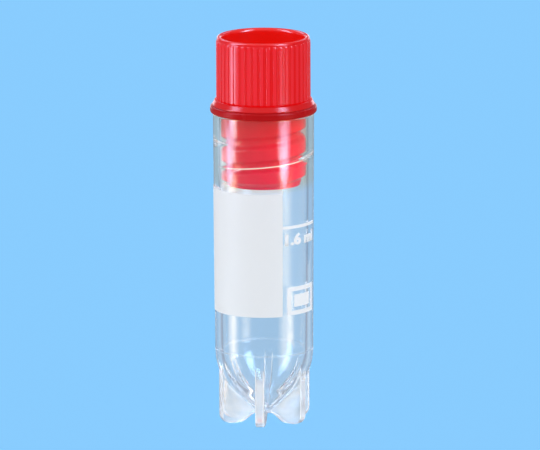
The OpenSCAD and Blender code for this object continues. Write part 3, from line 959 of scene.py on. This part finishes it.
for piece, body, slot, nodes in (
    (tube, "tube_body", "clear_plastic", ["tube"]),
    (cap, "cap_body", "red_plastic", ["cap"]),
    (gasket, "gasket_body", "red_silicone", ["gasket"]),
    (patch, "tube_body", "white_ink", ["write_on_patch"]),
    (line, "tube_body", "white_ink", ["graduation_line"]),
    (mark, "tube_body", "white_ink", ["mark_frame"]),
    (number, "tube_body", "white_ink", []),
):
    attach(piece, body)
    if nodes:
        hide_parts(*nodes)


# ---- stage, lights and camera ----------------------------

SKY = (0.250, 0.604, 0.991, 1)
THROUGH = (0.36, 0.585, 0.83, 1)
FLAG = (0.27, 0.36, 0.50, 1)
SIDE = (0.60, 0.68, 0.78, 1)
FRONT_OF_SET = (0.38, 0.45, 0.54, 1)
DIM_LEFT = (0.22, 0.26, 0.38, 1)
DIM_RIGHT = (0.08, 0.10, 0.14, 1)
DIM_BACK = (0.28, 0.31, 0.37, 1)
DIM_BACK_RIGHT = (0.20, 0.22, 0.28, 1)
HORIZON = (2.2, 2.1, 2.4, 1)
OVERHEAD = (1.2, 1.2, 1.25, 1)
FILL = (0.96, 0.98, 1.0)
FLOOR_SHADE = (0.012, 0.03, 0.05, 1)


def ramp(tree, value, stops):
    """A colour that changes along the value, from (place, colour) stops."""
    node = add(tree, "ShaderNodeValToRGB", {0: value})
    node.color_ramp.interpolation = "EASE"
    while len(node.color_ramp.elements) < len(stops):
        node.color_ramp.elements.new(1.0)
    for element, (place, colour) in zip(node.color_ramp.elements, stops):
        element.position, element.color = place, colour
    return node.outputs[0]


def surroundings(tree):
    """What a ray sees around the tube: sky blue, or greyer when it comes through plastic, dim
    with a bright horizon behind when it comes off gloss, and an even fill off matt surfaces."""
    path = add(tree, "ShaderNodeLightPath").outputs
    where = add(tree, "ShaderNodeTexCoord").outputs["Generated"]
    x, y, z = add(tree, "ShaderNodeSeparateXYZ", {0: where}).outputs
    bent = ramp(tree, remapped(tree, y, -1.0, 1.0), [
        (0.0, FRONT_OF_SET), (0.4, SIDE), (0.75, SIDE), (0.81, FLAG), (0.855, FLAG),
        (0.9, THROUGH)])
    right, behind = remapped(tree, x, -0.5, 0.5), remapped(tree, y, -0.4, 0.9)
    gloss = tinted(tree, behind, tinted(tree, right, DIM_LEFT, DIM_RIGHT),
                   tinted(tree, right, DIM_BACK, DIM_BACK_RIGHT))
    gloss = tinted(tree, remapped(tree, z, 0.5, 1.0), gloss, OVERHEAD)
    level = remapped(tree, maths(tree, "ABSOLUTE", maths(tree, "SUBTRACT", z, 0.01)), 0.16, 0.06)
    level = product(tree, level, maths(tree, "GREATER_THAN", y, 0.85))
    gloss = tinted(tree, level, gloss, HORIZON)
    seen = tinted(tree, path["Is Glossy Ray"], SKY, gloss)
    seen = tinted(tree, path["Is Transmission Ray"], seen, bent)
    lit = remapped(tree, z, -1.0, 1.0, 0.93, 1.08)
    fill = add(tree, "ShaderNodeVectorMath", {0: FILL, "Scale": lit}, operation="SCALE").outputs[0]
    bounced = maths(tree, "GREATER_THAN", path["Diffuse Depth"], 0.5)
    return tinted(tree, bounced, seen, fill)


def make_floor():
    """A wide pale floor that is nearly the same shade everywhere."""
    floor = linked("floor", bpy.data.meshes.new("floor"))
    with edited(floor.data) as work:
        bmesh.ops.create_circle(work, cap_ends=True, segments=96, radius=1.8)
    finish, tree, shader, out = finish_base("pale_floor")
    tree.nodes.remove(shader)
    glow = add(tree, "ShaderNodeEmission", {"Color": SKY, "Strength": 0.95})
    matt = add(tree, "ShaderNodeBsdfDiffuse", {"Color": FLOOR_SHADE})
    both = add(tree, "ShaderNodeAddShader", {0: glow.outputs[0], 1: matt.outputs[0]})
    feed(out, "Surface", both.outputs[0])
    dressed(floor, finish)
    floor.visible_glossy = floor.visible_transmission = False
    floor.visible_shadow = floor.visible_diffuse = False


def softbox(name, turn, distance, low, high, width, radiance, colour, edge, lights):
    """A tall upright area light that faces the tube, with a soft edge along a share of its
    width. It lights the named kinds of ray, and doesn't show straight through clear plastic."""
    lamp = bpy.data.lights.new(name, "AREA")
    lamp.shape, lamp.size, lamp.size_y = "RECTANGLE", width, high - low
    lamp.energy = radiance * pi * width * (high - low)
    lamp.color = colour
    lamp.use_nodes = True
    tree = lamp.node_tree
    across = add(tree, "ShaderNodeNewGeometry").outputs["Parametric"]
    u = add(tree, "ShaderNodeSeparateXYZ", {0: across}).outputs[0]
    off = maths(tree, "ABSOLUTE", maths(tree, "SUBTRACT", u, 0.5))
    glow = remapped(tree, off, 0.5, 0.5 - 0.5 * edge, interpolation_type="SMOOTHSTEP")
    path = add(tree, "ShaderNodeLightPath").outputs
    turned_back = maths(tree, "ADD", path["Glossy Depth"], path["Diffuse Depth"])
    straight = maths(tree, "LESS_THAN", turned_back, 0.5)
    through = maths(tree, "GREATER_THAN", path["Transmission Depth"], 1.5)
    shown = maths(tree, "SUBTRACT", 1.0, product(tree, straight, through))
    feed(tree.nodes["Emission"], "Strength", product(tree, glow, shown))
    light = linked(name, lamp)
    a = radians(FRONT + turn)
    light.location = (distance * cos(a), distance * sin(a), (low + high) / 2)
    aim = Vector((0, 0, light.location.z)) - light.location
    light.rotation_euler = aim.to_track_quat("-Z", "Y").to_euler()
    light.visible_camera = False
    for kind in ("diffuse", "glossy", "transmission"):
        setattr(light, "visible_" + kind, kind in lights)


def make_world():
    world = bpy.data.worlds.new("studio")
    bpy.context.scene.world = world
    world.use_nodes = True
    world.cycles.sampling_method = "NONE"
    tree = world.node_tree
    feed(tree.nodes["Background"], "Color", surroundings(tree))


def make_camera():
    reach, elevation, roll = 1.6, radians(11.44), radians(-0.2)
    aim, view_w = Vector((0.758, 0, 24.56)) * MM, 66.86 * MM
    camera = linked("camera", bpy.data.cameras.new("camera"))
    camera.data.sensor_width = 36
    camera.data.lens = camera.data.sensor_width * reach / view_w
    camera.data.clip_start, camera.data.clip_end = 0.05, 10
    camera.location = aim + Vector((0, -cos(elevation), sin(elevation))) * reach
    turn = (aim - camera.location).to_track_quat("-Z", "Y").to_matrix().to_4x4()
    camera.rotation_euler = (turn @ Matrix.Rotation(roll, 4, "Z")).to_euler()
    bpy.context.scene.camera = camera


WARM, PALE = (1.0, 0.76, 0.45), (0.45, 0.68, 1.0)
SOFT_WARM, SOFT_PALE, WHITE = (1.0, 0.85, 0.7), (0.6, 0.76, 1.0), (1.0, 0.99, 0.97)
CLEAR_TOO, GLOSS, MATT = ("glossy", "transmission"), ("glossy",), ("diffuse",)

# Seen from the camera's height, the tube mirrors what is 101 mm lower. The light between these
# two heights, in metres, shows on the neck, and what is above them on the cap.
neck_from, neck_to = -0.0735, -0.0635

make_floor()
make_world()
for light in (
    ("left_softbox", -82, 0.5, -0.17, neck_from, 0.30, 7.0, WARM, 1.0, CLEAR_TOO),
    ("left_softbox_low", -82, 0.5, -0.4, -0.17, 0.30, 3.0, SOFT_WARM, 1.0, CLEAR_TOO),
    ("left_softbox_neck", -86, 0.5, neck_from, neck_to, 0.28, 12, PALE, 1.0, CLEAR_TOO),
    ("left_softbox_cap", -79, 0.5, neck_to, 0.9, 0.22, 13.5, PALE, 1.0, CLEAR_TOO),
    ("left_wash_neck", -112, 0.5, neck_from, neck_to, 0.42, 2.0, SOFT_PALE, 0.6, CLEAR_TOO),
    ("right_softbox", 54, 0.5, -0.35, neck_from, 0.42, 3.8, WARM, 1.0, CLEAR_TOO),
    ("right_softbox_neck", 49, 0.5, neck_from, neck_to, 0.35, 13.5, PALE, 1.0, CLEAR_TOO),
    ("right_softbox_cap", 51, 0.5, neck_to, 0.1, 0.24, 0.4, PALE, 1.0, CLEAR_TOO),
    ("right_softbox_high", 51, 0.5, 0.12, 1.2, 0.3, 28, PALE, 1.0, CLEAR_TOO),
    ("left_wash", -122, 0.5, -0.4, -0.08, 0.42, 0.7, WARM, 1.0, GLOSS),
    ("right_wash", 125, 0.5, -0.4, -0.085, 0.42, 1.0, WARM, 1.0, GLOSS),
    ("left_softbox_high", -70, 0.5, 0.15, 1.2, 0.26, 14, PALE, 1.0, GLOSS),
    ("left_back_softbox", -152, 0.5, 0.25, 0.5, 0.4, 4, PALE, 1.0, GLOSS),
    ("right_back_softbox", 152, 0.5, 0.25, 0.5, 0.4, 2, PALE, 1.0, GLOSS),
    ("left_key", -55, 0.6, 0.0, 0.6, 0.4, 0.35, WHITE, 0.3, MATT),
    ("top_key", -10, 0.3, 0.25, 0.55, 0.3, 1.0, WHITE, 0.3, MATT),
):
    softbox(*light)
make_camera()

bpy.context.scene.view_settings.view_transform = "Standard"
cycles = bpy.context.scene.cycles
cycles.use_denoising = cycles.caustics_refractive = cycles.caustics_reflective = True
cycles.max_bounces, cycles.transmission_bounces, cycles.glossy_bounces = 96, 48, 80
cycles.diffuse_bounces, cycles.transparent_max_bounces = 12, 16
